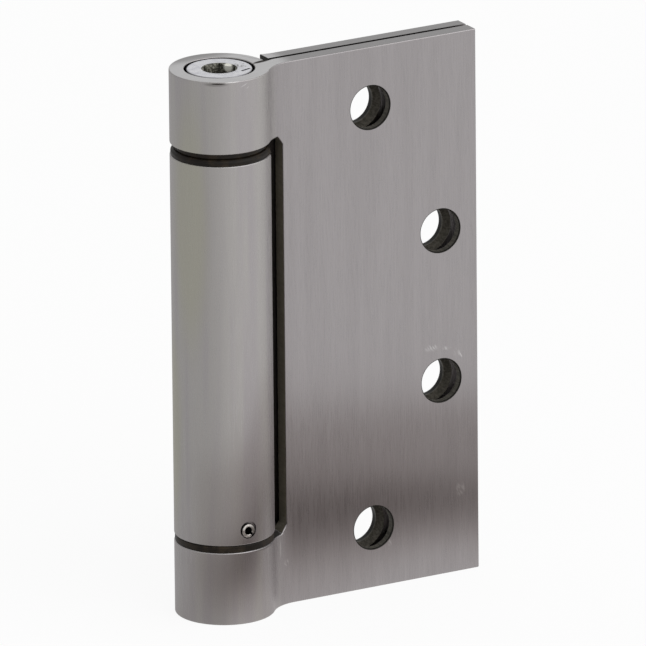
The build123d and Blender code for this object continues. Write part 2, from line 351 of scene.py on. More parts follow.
def window_cutters():
    """The slot at the back of the top knuckle, in which the tension pin travels."""
    past, play = 1.5 * MM, 0.1 * MM
    inside, outside, half = BORE_RADIUS - past, KNUCKLE_RADIUS + past, PIN_RADIUS + play
    start, stop = (math.radians(a) for a in WINDOW_ANGLES)
    ends = [
        lay(
            turned("window_end", [(0, inside), (half, inside), (half, outside), (0, outside)], 40),
            (0, 0, PIN_Z),
            angle,
        )
        for angle in (start, stop)
    ]
    bpy.ops.mesh.primitive_plane_add(size=1, location=((inside + outside) / 2, 0, PIN_Z))
    band = bpy.context.object
    band.rotation_euler = (math.pi / 2, 0, 0)
    band.scale = (outside - inside, 2 * half, 1)
    bpy.ops.object.transform_apply()
    band.rotation_euler = (0, 0, start)
    bpy.ops.object.transform_apply()
    edit(band)
    bpy.ops.mesh.spin(steps=30, angle=start - stop, center=(0, 0, 0), axis=(0, 0, 1))
    return [settle(band), *ends]


def mirror_leaf(sheet):
    """Turns the front leaf's shape into the rear leaf's, on the other side of the gap."""
    edit(sheet)
    bpy.ops.transform.resize(value=(1, -1, 1), center_override=(0, 0, 0))
    bpy.ops.mesh.normals_make_consistent(inside=False)
    take(sheet)


def knuckle_sheet():
    """Front leaf: its roll is cut away in the middle, which leaves a knuckle at each end."""
    sheet = rolled_sheet("knuckle_sheet")
    cut(
        sheet,
        notch_cutter(
            END_KNUCKLE_HEIGHT, TOP_KNUCKLE_BASE, BARREL_NOTCH_X, NOTCH_CORNER_X, NOTCH_CORNER_Z
        ),
    )
    round_edges(sheet, SHEET_EDGE_ROUND, left_sharp=beside_gap)
    cut_screw_holes(sheet)
    cut(sheet, *window_cutters())
    return sheet


def barrel_sheet():
    """Rear leaf: its roll is cut away at both ends, which leaves the long barrel."""
    sheet = rolled_sheet("barrel_sheet")
    over = 5 * MM
    cut(
        sheet,
        notch_cutter(-over, BARREL_BASE, END_NOTCH_X),
        notch_cutter(BARREL_TOP, HINGE_HEIGHT + over, END_NOTCH_X),
    )
    round_edges(sheet, SHEET_EDGE_ROUND, left_sharp=beside_gap)
    cut_screw_holes(sheet, BARREL_LEAF_HOLE_SHIFT)
    mirror_leaf(sheet)

    # The roll pin's hole, and its mouth, which driving the pin in has torn upwards
    mouth, far = 9.3 * MM, 11 * MM
    for radius, start, x, z in (
        (PIN_RADIUS + PIN_FIT, 0, 0, ROLL_PIN_Z),
        (PIN_RADIUS + 0.3 * MM, mouth, -0.06 * MM, ROLL_PIN_Z + 0.27 * MM),
    ):
        drill = turned("pin_drill", [(0, start), (radius, start), (radius, far), (0, far)], 48)
        cut(sheet, lay(drill, (x, 0, z), -math.pi / 2))
    return sheet


def adjuster_plug():
    """Turned plug with a hexagon socket, a slit for a key, and holes for the tension pin."""
    plug = turned(
        "adjuster_plug",
        [
            (0, ADJUSTER_FOOT),
            (SHANK_RADIUS, ADJUSTER_FOOT),
            (SHANK_RADIUS, ADJUSTER_SHOULDER),
            (ADJUSTER_RADIUS, ADJUSTER_SHOULDER),
            (ADJUSTER_RADIUS, ADJUSTER_TOP),
            (0, ADJUSTER_TOP),
        ],
    )
    round_edges(plug, 0.3 * MM, 4)
    over = 0.4 * MM
    bpy.ops.mesh.primitive_cylinder_add(
        vertices=6,
        radius=SOCKET_FLAT / math.cos(math.pi / 6),
        depth=ADJUSTER_TOP + over - SOCKET_FLOOR,
        location=(0, 0, (ADJUSTER_TOP + over + SOCKET_FLOOR) / 2),
        rotation=(0, 0, math.pi / 6),
    )
    hexagon = bpy.context.object
    mouth = SOCKET_MOUTH
    lead_in = turned(
        "socket_mouth",
        [
            (0, ADJUSTER_TOP - mouth),
            (SOCKET_FLAT - 0.05 * MM, ADJUSTER_TOP - mouth),
            (SOCKET_FLAT + mouth - 0.1 * MM, ADJUSTER_TOP - 0.06 * MM),
            (SOCKET_FLAT + mouth, ADJUSTER_TOP),
            (SOCKET_FLAT + mouth + over, ADJUSTER_TOP + over / 3),
            (0, ADJUSTER_TOP + over / 3),
        ],
    )
    drill = 3.0 * MM
    point = turned(
        "drill_point",
        [
            (0, SOCKET_FLOOR - 1.8 * MM),
            (drill, SOCKET_FLOOR),
            (drill, SOCKET_FLOOR + drill),
            (0, SOCKET_FLOOR + drill),
        ],
        48,
    )
    slit = block(polar(SLIT_REACH, SLIT_ANGLE, ADJUSTER_TOP), SLIT_SIZE, (0, 0, SLIT_TURN))
    hole, far = PIN_RADIUS + PIN_FIT, 8 * MM
    pin_holes = [
        lay(
            turned("pin_hole", [(0, PIN_SEAT), (hole, PIN_SEAT), (hole, far), (0, far)], 32),
            (0, 0, PIN_Z),
            math.radians(WINDOW_ANGLES[1] + 60 * k),
        )
        for k in range(6)
    ]
    spring_notch = block(
        polar(SPRING_NOTCH_REACH, SPRING_NOTCH_ANGLE, ADJUSTER_FOOT),
        SPRING_NOTCH_SIZE,
        (0, 0, SPRING_NOTCH_TURN),
    )
    cut(plug, hexagon, lead_in, point, slit, *pin_holes, spring_notch)
    return plug


def bush(name, flange_radius, flange, sleeve_end, shoulder):
    """A bush turned from black plastic rod: a flange with a small shoulder, and a sleeve that
    reaches up or down from it."""
    low, high = flange
    top = [(flange_radius, high - shoulder), (flange_radius - shoulder, high)]
    if sleeve_end < low:
        outline = [
            (SLEEVE_INSIDE, sleeve_end),
            (SLEEVE_OUTSIDE, sleeve_end),
            (SLEEVE_OUTSIDE, low),
            (flange_radius, low),
            *top,
            (SLEEVE_INSIDE, high),
        ]
    else:
        outline = [
            (SLEEVE_INSIDE, low),
            (flange_radius, low),
            *top,
            (SLEEVE_OUTSIDE, high),
            (SLEEVE_OUTSIDE, sleeve_end),
            (SLEEVE_INSIDE, sleeve_end),
        ]
    ring = turned(name, [*outline, outline[0]])
    round_edges(ring, 0.08 * MM, 2)
    return ring


def roll_pin():
    """Slotted tube of spring steel, its mouth a little rolled in."""
    outside, inside = PIN_RADIUS, 0.8 * MM
    far, near = 10.05 * MM, -5.93 * MM
    pin = turned(
        "roll_pin",
        [
            (inside, near),
            (outside, near),
            (outside, far - 0.28 * MM),
            (outside - 0.08 * MM, far - 0.1 * MM),
            (outside - 0.24 * MM, far),
            (inside + 0.12 * MM, far),
            (inside, far - 0.12 * MM),
            (inside, near),
        ],
        48,
    )
    lay(pin, (0, 0, ROLL_PIN_Z), -math.pi / 2)
    out = Vector((math.sin(ROLL_PIN_TURN), 0, math.cos(ROLL_PIN_TURN)))
    slot, through = 0.5 * MM, 30 * MM
    place = Vector((0, (near - far) / 2, ROLL_PIN_Z)) + out * outside
    cut(pin, block(place, (slot, through, 2 * outside), (0, ROLL_PIN_TURN, 0)))
    return pin


def tension_pin_rod():
    """Short ground pin with rounded ends, held between the adjuster and the window."""
    start, stop = PIN_SEAT, KNUCKLE_RADIUS - 0.25 * MM
    rod = turned(
        "tension_pin_rod", [(0, start), (PIN_RADIUS, start), (PIN_RADIUS, stop), (0, stop)], 48
    )
    round_edges(rod, 0.35 * MM, 4)
    return lay(rod, (0, 0, PIN_Z), math.radians(WINDOW_ANGLES[1]))


def foot_cap():
    """Disc pressed into the bottom knuckle, flush with its foot."""
    cap = turned(
        "foot_cap",
        [(0, 0), (SLEEVE_OUTSIDE, 0), (SLEEVE_OUTSIDE, CAP_THICKNESS), (0, CAP_THICKNESS)],
    )
    round_edges(cap, 0.5 * MM, 4)
    return cap


def srgb(code):
    """A hex colour as it is seen, turned to the linear values that a shader takes."""
    shares = [int(code[k : k + 2], 16) / 255 for k in (1, 3, 5)]
    linear = [s / 12.92 if s <= 0.04045 else ((s + 0.055) / 1.055) ** 2.4 for s in shares]
    return (*linear, 1.0)


def new_material(name):
    """An empty node material, with its node tree."""
    made = bpy.data.materials.new(name)
    made.use_nodes = True
    made.node_tree.nodes.clear()
    return made, made.node_tree


def node(tree, kind, settings=None, out=0, **links):
    """Adds a node with its settings, sets or links its inputs by name or number, and gives one
    of its outputs. A colour is written as its hex code."""
    made = tree.nodes.new("ShaderNode" + kind)
    for key, value in (settings or {}).items():
        setattr(made, key, value)
    for key, value in links.items():
        socket = made.inputs[int(key[1:]) if key[1:].isdigit() else key.replace("_", " ")]
        if isinstance(value, bpy.types.NodeSocket):
            tree.links.new(value, socket)
        else:
            socket.default_value = srgb(value) if isinstance(value, str) else value
    return made.outputs[out] if made.outputs else None


# Settings that many nodes share. A Map Range takes its value and two ranges as inputs 0 to 4.
# A colour Mix takes its share as input 0 and its two colours as 6 and 7, and gives output 2.
SOFT = {"interpolation_type": "SMOOTHSTEP"}
MIXED = {"data_type": "RGBA"}
TONED = {"data_type": "RGBA", "blend_type": "MULTIPLY"}
TIMES = {"operation": "MULTIPLY"}
PLUS = {"operation": "ADD"}
MINUS = {"operation": "SUBTRACT"}
LESS = {"operation": "LESS_THAN"}
MOST = {"operation": "MAXIMUM"}
TOWARDS = {"operation": "DOT_PRODUCT"}


def spots(tree, place, *shapes):
    """Soft spots, 1 in the middle and 0 at the rim, each given by its centre and its half sizes
    in mm, and by its turn if it has one."""
    most = 0.0
    for centre, half, *turn in shapes:
        fitted = node(
            tree,
            "Mapping",
            {"vector_type": "TEXTURE"},
            Vector=place,
            Location=Vector(centre) * MM,
            Rotation=turn[0] if turn else (0, 0, 0),
            Scale=Vector(half) * MM,
        )
        ball = node(tree, "TexGradient", {"gradient_type": "SPHERICAL"}, "Fac", Vector=fitted)
        most = node(tree, "Math", MOST, _0=most, _1=ball)
    return most


def distance(tree, place, centre=(0, 0, 0), seen=(1, 1, 0)):
    """How far a point is from another one, along the axes that are seen. With nothing said, it
    is how far a point is from the pin's axis."""
    off = node(tree, "VectorMath", MINUS, _0=place, _1=centre)
    flat = node(tree, "VectorMath", TIMES, _0=off, _1=seen)
    return node(tree, "VectorMath", {"operation": "LENGTH"}, "Value", _0=flat)


def grain(tree, place, across, along, axis="Z", detail=2.0):
    """Noise drawn out along one axis: lines so many mm wide and so many mm long."""
    drawn = [across / along if letter == axis else 1.0 for letter in "XYZ"]
    place = node(tree, "VectorMath", TIMES, _0=place, _1=drawn)
    scale = 1 / (across * MM)
    return node(tree, "TexNoise", Vector=place, Scale=scale, Detail=detail, Roughness=0.6)


def finish(tree, colour, metallic, roughness, bump, depth, **others):
    """Joins a colour, a roughness and a bump, whose depth is in mm, into the surface."""
    bumped = node(tree, "Bump", Strength=1.0, Distance=depth * MM, Height=bump)
    surface = node(
        tree,
        "BsdfPrincipled",
        Base_Color=colour,
        Metallic=metallic,
        Roughness=roughness,
        Normal=bumped,
        **others,
    )
    node(tree, "OutputMaterial", Surface=surface)


def brushed_stainless():
    """304 stainless sheet, linished up and down with a fine belt, and smoother on the roll. The
    eye sees a satin grey with short upright lines, and reflections that smear sideways. The
    lines are drawn 0.22 mm wide, a few times coarser than the belt's, so that they show. The
    leaves' inner faces beside the roll are painted dark, as painted shade."""
    made, tree = new_material("brushed_stainless")
    place = node(tree, "TexCoord", out="Object")
    radius = distance(tree, place)
    roll_end = KNUCKLE_RADIUS + 0.15 * MM
    leaf = node(tree, "MapRange", SOFT, _0=radius, _1=roll_end, _2=12.0 * MM)
    lines = grain(tree, place, 0.22, 5)
    broad = grain(tree, place, 3.0, 60, detail=1.0)
    share = node(tree, "MapRange", SOFT, _0=broad, _1=0.35, _2=0.65)
    flat = node(tree, "Mix", MIXED, 2, _0=share, _6="#A6A2A3", _7="#A39FA0")
    roll = node(tree, "Mix", MIXED, 2, _0=share, _6="#B0ADAB", _7="#ABA7A8")

    # A faint yellow stain on the roll's left, which the heat of rolling left
    stain = spots(tree, place, ((-9.4, -3.9, 84), (5, 6, 34)), ((-9.9, 2.5, 40), (4, 4.5, 26)))
    stain = node(tree, "MapRange", SOFT, _0=stain, _1=0, _2=0.6, _4=0.8)
    roll = node(tree, "Mix", MIXED, 2, _0=stain, _6=roll, _7="#AFADA0")
    colour = node(tree, "Mix", MIXED, 2, _0=leaf, _6=roll, _7=flat)

    # The lines: light and dark, fainter on the roll
    tone = node(tree, "MapRange", SOFT, _0=lines, _1=0.28, _2=0.72, _3=-0.08, _4=0.07)
    fainter = node(tree, "MapRange", SOFT, _0=leaf, _3=0.3)
    tone = node(tree, "Math", TIMES, _0=tone, _1=fainter)
    tone = node(tree, "Math", PLUS, _0=tone, _1=1.0)
    colour = node(tree, "Mix", TONED, 2, _0=1.0, _6=colour, _7=tone)

    # Faint scuffs near the edges, and short scratches, which all lean the same way. Most are on
    # the leaf's outer face, whose y in mm is named first.
    face = -LEAF_FACE / MM
    leant = node(
        tree,
        "Mapping",
        {"vector_type": "TEXTURE"},
        Vector=place,
        Rotation=(0, -0.6, 0),
        Scale=(1, 1, 4),
    )
    flecks = node(tree, "TexNoise", Vector=leant, Scale=2400.0, Detail=1.0)
    flecks = node(tree, "MapRange", SOFT, _0=flecks, _1=0.42, _2=0.68, _4=0.4)
    scuffed = spots(
        tree,
        place,
        ((46.4, face, 48.5), (1.9, 0.3, 0.9)),
        ((50.0, face, 48.0), (1.3, 0.3, 0.5)),
        ((52.3, face, 46.7), (1.1, 0.3, 1.2)),
        ((52.9, face, 17.5), (1.3, 0.3, 1.8)),
        ((36.4, face, 8.8), (0.8, 0.3, 0.8)),
        ((11.9, -3.5, 8.8), (1.1, 0.6, 1.1)),
    )
    scuffed = node(tree, "MapRange", SOFT, _0=scuffed, _1=0, _2=0.5)
    scuffed = node(tree, "Math", TIMES, _0=scuffed, _1=flecks)
    scratched = spots(
        tree,
        place,
        ((10.5, -4.3, 12.2), (0.18, 0.8, 2.4)),
        ((46.9, face, 48.5), (0.16, 0.3, 0.6), (0, -0.6, 0)),
        ((53.2, face, 46.0), (0.2, 0.3, 0.8), (0, -0.5, 0)),
        ((0.0, -10.14, 113.3), (1.1, 0.5, 0.11), (0, -0.4, 0)),
        ((0.8, -10.1, 112.7), (0.5, 0.5, 0.09), (0, -0.5, 0)),
        ((-2.6, -9.8, 114.2), (1.8, 0.6, 0.2), (0, 0, -0.26)),
    )
    scratched = node(tree, "MapRange", SOFT, _0=scratched, _1=0, _2=0.5, _4=0.5)
    worn = node(tree, "Math", MOST, _0=scuffed, _1=scratched)
    colour = node(tree, "Mix", MIXED, 2, _0=worn, _6=colour, _7="#DEDCDC")

    # Dark places: a nick, oil in the seam, a smear round the nick, a painted shade patch that dims
    # the bottom knuckle's rim, and painted shade on the leaves' inner faces by the roll
    nick = spots(tree, place, ((-5.2, -8.7, 113.95), (2.0, 0.8, 0.2), (0, 0, -0.54)), SEAM_OIL)
    nick = node(tree, "MapRange", SOFT, _0=nick, _1=0, _2=0.5)
    # Painted shade: the lower spot darkens the bottom knuckle's rim to dim its highlight; the upper
    # one is a smear round the nick
    smear_and_rim_shade = spots(
        tree,
        place,
        ((-5.6, -8.45, 113.8), (3.4, 1.0, 0.5), (0, 0, -0.54)),
        ((4.5, -8.8, 15.2), (5.5, 3.5, 0.6)),
    )
    smear_and_rim_shade = node(tree, "MapRange", SOFT, _0=smear_and_rim_shade, _1=0, _2=0.6, _4=0.4)
    # Painted shade on the leaves' inner faces where they meet the roll
    off_gap = distance(tree, place, seen=(0, 1, 0))
    corner_shade = node(tree, "MapRange", SOFT, _0=off_gap, _1=0.5 * MM, _2=0.7 * MM, _3=1, _4=0)
    past_roll = node(tree, "MapRange", SOFT, _0=radius, _1=roll_end, _2=roll_end + 0.3 * MM)
    by_roll = node(tree, "MapRange", SOFT, _0=radius, _1=12.6 * MM, _2=15 * MM, _3=1, _4=0)
    corner_shade = node(tree, "Math", TIMES, _0=corner_shade, _1=past_roll)
    corner_shade = node(tree, "Math", TIMES, _0=corner_shade, _1=by_roll)
    dark = node(tree, "Math", MOST, _0=nick, _1=smear_and_rim_shade)
    dark = node(tree, "Math", MOST, _0=dark, _1=corner_shade)
    colour = node(tree, "Mix", MIXED, 2, _0=dark, _6=colour, _7="#3A3634")

    roughness = node(tree, "MapRange", SOFT, _0=lines, _1=0.3, _2=0.7, _3=0.26, _4=0.33)
    upright = node(tree, "Tangent", {"direction_type": "RADIAL", "axis": "Z"})
    finish(tree, colour, 1.0, roughness, lines, 0.003, Anisotropic=1.0, Tangent=upright)
    return made


def ground_ends():
    """The sheet's ground ends: paler than its faces, with short crossing scratches, a darker grey
    towards the leaves, with painted shade on the knuckle's top behind the plug, and with dark oil
    along the roll's seam."""
    made, tree = new_material("ground_stainless_ends")
    place = node(tree, "TexCoord", out="Object")
    y = node(tree, "SeparateXYZ", out="Y", Vector=place)
    scratches = grain(tree, place, 0.22, 3, "X")
    pale = node(tree, "Mix", MIXED, 2, _0=scratches, _6="#CDCCCC", _7="#BFBEBF")
    dull = node(tree, "Mix", MIXED, 2, _0=scratches, _6="#989696", _7="#8C8A8A")
    radius = distance(tree, place)
    dull_and_shaded = node(tree, "MapRange", SOFT, _0=radius, _1=12 * MM, _2=16 * MM)
    # Painted shade on the knuckle's top behind the plug
    behind = node(tree, "MapRange", SOFT, _0=y, _1=5 * MM, _2=9 * MM)
    dull_and_shaded = node(tree, "Math", MOST, _0=dull_and_shaded, _1=behind)
    colour = node(tree, "Mix", MIXED, 2, _0=dull_and_shaded, _6=pale, _7=dull)
    tone = node(tree, "MapRange", SOFT, _0=scratches, _1=0.3, _2=0.7, _3=0.93, _4=1.06)
    colour = node(tree, "Mix", TONED, 2, _0=1.0, _6=colour, _7=tone)
    oil = node(tree, "MapRange", SOFT, _0=spots(tree, place, SEAM_OIL), _1=0, _2=0.5)
    colour = node(tree, "Mix", MIXED, 2, _0=oil, _6=colour, _7="#1E1C1A")
    finish(tree, colour, 1.0, 0.34, scratches, 0.004)
    return made


def punched_walls():
    """Punched walls of the holes and notches: torn along the stroke, dark, and black at the rims,
    with painted shade on the rear leaf's deeper walls and on its walls beside the roll. The
    front leaf's long notch wall beside the barrel is painted paler, as painted light."""
    made, tree = new_material("punched_stainless_walls")
    place = node(tree, "TexCoord", out="Object")
    x, y, _ = node(tree, "SeparateXYZ", Vector=place).node.outputs
    stroke = grain(tree, place, 0.35, 3, "Y")
    share = node(tree, "MapRange", SOFT, _0=stroke, _1=0.35, _2=0.65)
    colour = node(tree, "Mix", MIXED, 2, _0=share, _6="#5A564E", _7="#3F3C35")
    beside_roll = node(tree, "Math", LESS, _0=x, _1=13.5 * MM)
    on_front = node(tree, "Math", LESS, _0=y, _1=0.0)
    # Painted shade on the rear leaf's walls beside the roll
    behind = node(tree, "Math", MINUS, _0=beside_roll, _1=on_front)
    # Painted shade on the rear leaf's deeper walls
    deep = node(tree, "MapRange", SOFT, _0=y, _1=2.0 * MM, _2=2.3 * MM)
    off_gap = distance(tree, place, seen=(0, 1, 0))
    inner, outer = LEAF_FACE - 0.45 * MM, LEAF_FACE - 0.2 * MM
    rim = node(tree, "MapRange", SOFT, _0=off_gap, _1=inner, _2=outer)
    # The painted shade and the black rims share one dark colour
    shade_and_black_rim = node(tree, "Math", MOST, _0=deep, _1=rim)
    shade_and_black_rim = node(tree, "Math", MOST, _0=shade_and_black_rim, _1=behind)
    colour = node(tree, "Mix", MIXED, 2, _0=shade_and_black_rim, _6=colour, _7="#1C1A16")
    # Painted light: the front leaf's notch wall beside the barrel is given a paler colour
    lit_notch = node(tree, "Math", TIMES, _0=beside_roll, _1=on_front)
    paler_notch_colour = node(tree, "Mix", MIXED, 2, _0=stroke, _6="#8A8475", _7="#635D51")
    colour = node(tree, "Mix", MIXED, 2, _0=lit_notch, _6=colour, _7=paler_notch_colour)
    finish(tree, colour, 0.5, 0.5, stroke, 0.01, Specular_IOR_Level=0.3)
    return made


def black_acetal():
    """Black acetal rod, turned: a brown black with a dull sheen and faint lathe lines."""
    made, tree = new_material("black_acetal")
    place = node(tree, "TexCoord", out="Object")
    lathe = grain(tree, place, 6.0, 0.18)
    smudge = node(tree, "TexNoise", Vector=place, Scale=450.0, Detail=3.0)
    share = node(tree, "MapRange", SOFT, _0=smudge, _1=0.35, _2=0.7)
    colour = node(tree, "Mix", MIXED, 2, _0=share, _6="#140F0A", _7="#2A2218")
    tone = node(tree, "MapRange", SOFT, _0=lathe, _1=0.3, _2=0.7, _3=0.6, _4=1.4)
    colour = node(tree, "Mix", TONED, 2, _0=1.0, _6=colour, _7=tone)
    roughness = node(tree, "MapRange", SOFT, _0=smudge, _1=0.3, _2=0.7, _3=0.42, _4=0.56)
    finish(tree, colour, 0.0, roughness, lathe, 0.01, Specular_IOR_Level=0.2)
    return made


def zinc_plated_plug():
    """Turned steel with clear zinc plating: bright, cool grey, with fine rings from the lathe.
    Keys have worn the socket through to a dull, dirty, speckled steel, with painted shade round
    its mouth and lower down, and one painted highlight."""
    made, tree = new_material("zinc_plated_plug")
    place = node(tree, "TexCoord", out="Object")
    z = node(tree, "SeparateXYZ", out="Z", Vector=place)
    radius = distance(tree, place)
    rings = node(
        tree, "TexNoise", {"noise_dimensions": "1D"}, W=radius, Scale=4200.0, Detail=2.0
    )
    smear = node(tree, "TexNoise", Vector=place, Scale=700.0, Detail=4.0)
    speckle = node(tree, "TexNoise", Vector=place, Scale=2300.0, Detail=3.0)
    share = node(tree, "MapRange", SOFT, _0=smear, _1=0.4, _2=0.7)
    colour = node(tree, "Mix", MIXED, 2, _0=share, _6="#E2E2E6", _7="#CFCFD6")
    tone = node(tree, "MapRange", SOFT, _0=rings, _1=0.3, _2=0.7, _3=0.94, _4=1.05)
    colour = node(tree, "Mix", TONED, 2, _0=1.0, _6=colour, _7=tone)

    # Chips in the plating by the slit
    chips = node(tree, "MapRange", SOFT, _0=speckle, _1=0.55, _2=0.6)
    chipped = spots(tree, place, ((4.6, -0.3, 114.2), (1.5, 1.9, 0.6)))
    chipped = node(tree, "MapRange", SOFT, _0=chipped, _1=0, _2=0.4)
    chipped = node(tree, "Math", TIMES, _0=chipped, _1=chips)
    colour = node(tree, "Mix", MIXED, 2, _0=chipped, _6=colour, _7="#6E6C6A")

    # Painted shade on the plug's rounded edge by the gap, which dims its highlight
    edge = node(tree, "MapRange", SOFT, _0=radius, _1=6.38 * MM, _2=6.58 * MM, _4=0.75)
    colour = node(tree, "Mix", MIXED, 2, _0=edge, _6=colour, _7="#4A484A")

    # The socket: speckled grime, with painted shade round its mouth, a painted highlight on one
    # wall, and black painted shade lower down
    rim = SOCKET_FLAT + SOCKET_MOUTH + 0.015 * MM
    socket = node(tree, "Math", LESS, _0=radius, _1=rim)
    below = node(tree, "Math", LESS, _0=z, _1=ADJUSTER_TOP - 0.015 * MM)
    socket = node(tree, "Math", TIMES, _0=socket, _1=below)
    share = node(tree, "MapRange", SOFT, _0=speckle, _1=0.42, _2=0.62)
    dirt_shade_and_glint = node(tree, "Mix", MIXED, 2, _0=share, _6="#45433A", _7="#B3B1A4")
    # Painted shade round the socket's mouth
    mouth = node(tree, "MapRange", SOFT, _0=radius, _1=3.1 * MM, _2=3.4 * MM, _4=0.6)
    dirt_shade_and_glint = node(tree, "Mix", MIXED, 2, _0=mouth, _6=dirt_shade_and_glint, _7="#22211C")
    # A painted highlight on one wall of the socket
    bright = spots(tree, place, ((2.9, 1.5, 113.5), (1.2, 1.4, 1.2)))
    bright = node(tree, "MapRange", SOFT, _0=bright, _1=0, _2=0.5)
    dirt_shade_and_glint = node(tree, "Mix", MIXED, 2, _0=bright, _6=dirt_shade_and_glint, _7="#F6F5EC")
    # Painted shade: the socket turns black lower down
    oil = node(tree, "MapRange", SOFT, _0=z, _1=112.0 * MM, _2=112.3 * MM, _3=1, _4=0)
    dirt_shade_and_glint = node(tree, "Mix", MIXED, 2, _0=oil, _6=dirt_shade_and_glint, _7="#0B0A08")
    colour = node(tree, "Mix", MIXED, 2, _0=socket, _6=colour, _7=dirt_shade_and_glint)

    metallic = node(tree, "MapRange", _0=socket, _3=1.0, _4=0.25)
    roughness = node(tree, "MapRange", SOFT, _0=smear, _1=0.3, _2=0.7, _3=0.22, _4=0.34)
    rougher = node(tree, "Math", TIMES, _0=socket, _1=0.25)
    roughness = node(tree, "Math", PLUS, _0=roughness, _1=rougher)
    finish(tree, colour, metallic, roughness, rings, 0.003)
    return made


def machined_steel():
    """Plain machined steel, lightly oiled: mid grey with fine lathe lines."""
    made, tree = new_material("machined_steel")
    place = node(tree, "TexCoord", out="Object")
    lathe = grain(tree, place, 6.0, 0.2)
    share = node(tree, "MapRange", SOFT, _0=lathe, _1=0.3, _2=0.7)
    colour = node(tree, "Mix", MIXED, 2, _0=share, _6="#B3B2B3", _7="#9B9A9A")
    finish(tree, colour, 1.0, 0.3, lathe, 0.006)
    return made


def spring_strip_with_painted_shade():
    """Spring strip rolled into a pin. Its sides are painted near black as shade in its hole, and
    its end face keeps the steel's pale grey, with painted shade on its right."""
    made, tree = new_material("spring_strip_with_painted_shade")
    place = node(tree, "TexCoord", out="Object")
    x, y, _ = node(tree, "SeparateXYZ", Vector=place).node.outputs
    worn = node(tree, "TexNoise", Vector=place, Scale=1500.0, Detail=3.0)
    share = node(tree, "MapRange", SOFT, _0=worn, _1=0.35, _2=0.7)
    bright = node(tree, "Mix", MIXED, 2, _0=share, _6="#CDC9C5", _7="#8B8580")
    # Painted shade on the right of the pin's end
    right = node(tree, "MapRange", SOFT, _0=x, _1=0.0, _2=1.1 * MM, _4=0.75)
    bright = node(tree, "Mix", MIXED, 2, _0=right, _6=bright, _7="#6F6A66")
    # The pin's sides are painted near black as shade in its hole; its end face keeps the pale grey
    off_axis = distance(tree, place, (0, 0, ROLL_PIN_Z), (1, 0, 1))
    end = node(tree, "MapRange", SOFT, _0=y, _1=-9.95 * MM, _2=-9.8 * MM, _3=1, _4=0)
    face = node(tree, "MapRange", SOFT, _0=off_axis, _1=1.38 * MM, _2=1.46 * MM, _3=1, _4=0)
    end = node(tree, "Math", TIMES, _0=end, _1=face)
    colour = node(tree, "Mix", MIXED, 2, _0=end, _6="#1D1A18", _7=bright)
    finish(tree, colour, 1.0, 0.3, worn, 0.008)
    return made


def oil_tempered_wire():
    """Oil-tempered spring wire: blue grey to brown, with a thin skin of oil."""
    made, tree = new_material("oil_tempered_wire")
    place = node(tree, "TexCoord", out="Object")
    temper = node(tree, "TexNoise", Vector=place, Scale=260.0, Detail=3.0)
    share = node(tree, "MapRange", SOFT, _0=temper, _1=0.35, _2=0.65)
    colour = node(tree, "Mix", MIXED, 2, _0=share, _6="#5B5A5C", _7="#6B625A")
    roughness = node(tree, "MapRange", SOFT, _0=temper, _1=0.3, _2=0.7, _3=0.28, _4=0.42)
    finish(tree, colour, 1.0, roughness, temper, 0.01)
    return made


def coat(piece, material, wanted=None):
    """Puts a finish on a piece, or on those of its faces that are wanted."""
    piece.data.materials.append(material)
    if wanted:
        edit(piece, "FACE")
        pick("FACE", wanted)
        bpy.context.object.active_material_index = len(piece.data.materials) - 1
        bpy.ops.object.material_slot_assign()
        take(piece)


def dress(name, material):
    """Puts a material on a CAD node's slots."""
    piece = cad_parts[name]
    if not piece.material_slots:
        piece.data.materials.append(material)
    for slot in piece.material_slots:
        slot.material = material


def is_end(face):
    """A face of the sheet that looks up or down, with the round beside it."""
    return abs(face.normal.z) > END_TILT


def is_punched(face):
    """The wall of a screw hole with its sink, or of the notch beside a knuckle."""
    middle, normal = face.calc_center_median(), face.normal
    inside = HALF_GAP + HAIR < abs(middle.y) < LEAF_FACE - HAIR
    past_sink = SCREW_HOLE_RADIUS + 1.2 * MM
    in_hole = any(
        math.hypot(middle.x - (x + shift) * MM, middle.z - z * MM) < past_sink
        for x, z in SCREW_HOLES
        for shift in (0, BARREL_LEAF_HOLE_SHIFT)
    )
    in_notch = (
        SHOULDER_X - 0.2 * MM < middle.x < BARREL_NOTCH_X + 0.1 * MM
        and abs(normal.y) < 0.5
        and abs(normal.z) < END_TILT
    )
    return inside and (in_hole or in_notch)


steel, ends, punched = brushed_stainless(), ground_ends(), punched_walls()
acetal, zinc, machined = black_acetal(), zinc_plated_plug(), machined_steel()
strip, wire = spring_strip_with_painted_shade(), oil_tempered_wire()

# Each piece with the node that it replaces, its body, its slot in the record and its finish
pieces = [
    (knuckle_sheet(), "end_knuckle_leaf", "frame_leaf", "brushed_stainless", steel),
    (barrel_sheet(), "barrel_leaf", "swing_leaf", "brushed_stainless", steel),
    (adjuster_plug(), "tension_adjuster", "adjuster", "turned_steel", zinc),
    (tension_pin_rod(), "tension_pin", "adjuster", "turned_steel", machined),
    (bush("upper_ring", *UPPER_RING), "upper_knuckle_bush", "frame_leaf", "black_acetal", acetal),
    (bush("barrel_ring", *BARREL_RING), "barrel_bush", "swing_leaf", "black_acetal", acetal),
    (bush("lower_ring", *LOWER_RING), "lower_bush", "frame_leaf", "black_acetal", acetal),
    (roll_pin(), "anchor_roll_pin", "swing_leaf", "spring_steel", strip),
    (foot_cap(), "bottom_cap", "frame_leaf", "turned_steel", machined),
]
for piece, replaced, body, slot, material in pieces:
    coat(piece, material)
    if material is steel:
        coat(piece, ends, is_end)
        coat(piece, punched, is_punched)
    smooth(piece)
    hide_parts(replaced)
    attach(piece, body)
dress("closing_spring", wire)
dress("spring_anchor", machined)


